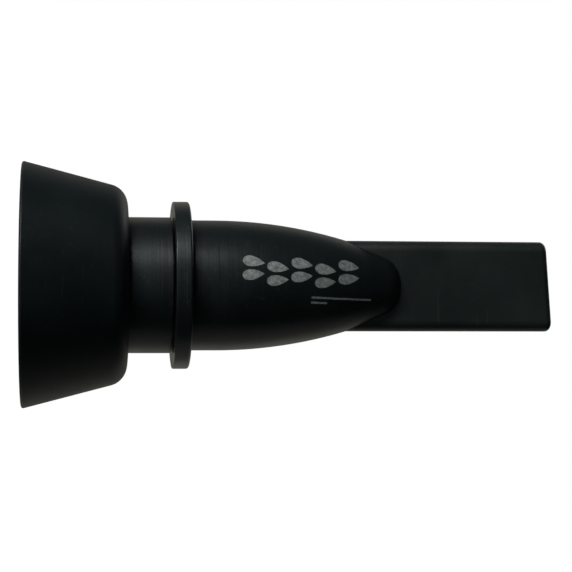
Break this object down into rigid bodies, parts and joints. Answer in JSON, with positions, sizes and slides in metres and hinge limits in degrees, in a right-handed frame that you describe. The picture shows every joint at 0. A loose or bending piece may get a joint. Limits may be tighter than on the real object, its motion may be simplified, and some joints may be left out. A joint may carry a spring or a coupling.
{
  "type": "grunt tube call",
  "caption": "Hand-held game call with a flared bell, a short barrel, a stop ring, a bullet-shaped stopper and a flat bar mouthpiece.",
  "frame": {"origin": "centre of the bell's mouth, in the plane of the rim that the call stands on", "axes": "+Z along the axis from the bell to the mouthpiece, X across the width of the flat mouthpiece, Y across its thickness; the printed mark faces -Y"},
  "size_m": [0.0586, 0.0585, 0.1282],
  "materials": {
    "bell_rubber": "matte moulded black",
    "body_plastic": "satin black",
    "ring_plastic": "satin black",
    "mouthpiece_plastic": "satin black, fine moulded texture",
    "board_plastic": "matte dark grey",
    "reed_film": "smooth translucent film",
    "wedge_rubber": "matte red-brown",
    "seal_rubber": "smooth rubber"
  },
  "bodies": {
    "bell": {"bell": "bell_rubber"},
    "barrel": {"barrel": "body_plastic", "bell_oring": "seal_rubber"},
    "collar": {"stop_ring": "ring_plastic", "tenon_oring_lower": "seal_rubber", "tenon_oring_upper": "seal_rubber"},
    "stopper": {"stopper_body": "body_plastic"},
    "mouthpiece": {"mouthpiece": "mouthpiece_plastic", "mouthpiece_gasket": "seal_rubber"},
    "reed_block": {"tone_board": "board_plastic", "plug_oring": "seal_rubber", "reed_wedge": "wedge_rubber"},
    "reed": {"reed": "reed_film"},
    "tuning_ring": {"tuning_ring": "seal_rubber"}
  },
  "joints": [
    {"name": "barrel_pull", "type": "slide", "parent": "bell", "child": "barrel", "axis": [0, 0, 1], "range_m": [0, 0.014]},
    {"name": "stopper_pull", "type": "slide", "parent": "barrel", "child": "collar", "axis": [0, 0, 1], "range_m": [0, 0.018]},
    {"name": "stopper_turn", "type": "hinge", "parent": "collar", "child": "stopper", "pos_m": [0, 0, 0.036], "axis": [0, 0, 1], "continuous": true},
    {"name": "mouthpiece_pull", "type": "slide", "parent": "stopper", "child": "mouthpiece", "axis": [0, 0, 1], "range_m": [0, 0.026]},
    {"name": "reed_block_pull", "type": "slide", "parent": "stopper", "child": "reed_block", "axis": [0, 0, -1], "range_m": [0, 0.042]},
    {"name": "reed_beat", "type": "hinge", "parent": "reed_block", "child": "reed", "pos_m": [0, -0.00185, 0.037], "axis": [-1, 0, 0], "range_deg": [0, 1.3], "stiffness_Nm_per_rad": 0.002},
    {"name": "tuning_slide", "type": "slide", "parent": "reed_block", "child": "tuning_ring", "axis": [0, 0, 1], "range_m": [0, 0.008]}
  ]
}
